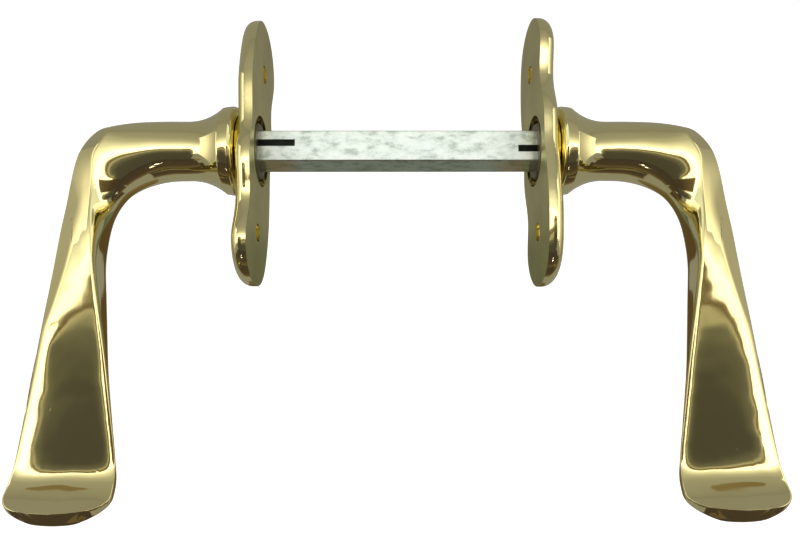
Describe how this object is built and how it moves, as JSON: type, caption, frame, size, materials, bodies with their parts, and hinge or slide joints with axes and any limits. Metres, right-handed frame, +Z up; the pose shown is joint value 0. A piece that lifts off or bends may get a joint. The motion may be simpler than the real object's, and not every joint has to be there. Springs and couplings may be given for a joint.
{
  "type": "door lever handle set",
  "caption": "Pair of cast brass door levers on slim S-shaped rose plates, joined through the door by a slotted square steel spindle.",
  "frame": {"origin": "on the spindle's axis, midway between the two rose plates' back faces, where the lock's follower sits", "axes": "+X along the spindle from the left lever to the right lever, +Z up, the grips' upper faces towards -Y, levers hanging down"},
  "size_m": [0.1752, 0.0266, 0.122],
  "materials": {
    "polished_brass": "polished cast brass with small casting pits, satin linished back faces",
    "zinc_steel": "zinc plated drawn steel, mottled",
    "screw_steel": "blackened screw steel",
    "spring_steel": "oiled spring steel"
  },
  "bodies": {
    "plate_left_body": {"plate_left": "polished_brass"},
    "lever_left_body": {"lever_left": "polished_brass", "grub_screw_left": "screw_steel", "washer_left": "spring_steel", "snap_ring_left": "spring_steel"},
    "spindle_body": {"spindle": "zinc_steel"},
    "lever_right_body": {"lever_right": "polished_brass", "grub_screw_right": "screw_steel", "washer_right": "spring_steel", "snap_ring_right": "spring_steel"},
    "plate_right_body": {"plate_right": "polished_brass"}
  },
  "joints": [
    {"name": "lever_turn", "type": "hinge", "parent": "plate_left_body", "child": "lever_left_body", "pos_m": [-0.0376, 0, 0], "axis": [1, 0, 0], "continuous": true},
    {"name": "spindle_adjust", "type": "slide", "parent": "lever_left_body", "child": "spindle_body", "axis": [1, 0, 0], "range_m": [-0.006, 0.006]},
    {"name": "right_lever_adjust", "type": "slide", "parent": "spindle_body", "child": "lever_right_body", "axis": [1, 0, 0], "range_m": [-0.0025, 0.01]},
    {"name": "right_plate_turn", "type": "hinge", "parent": "lever_right_body", "child": "plate_right_body", "pos_m": [0.0376, 0, 0], "axis": [1, 0, 0], "continuous": true}
  ]
}
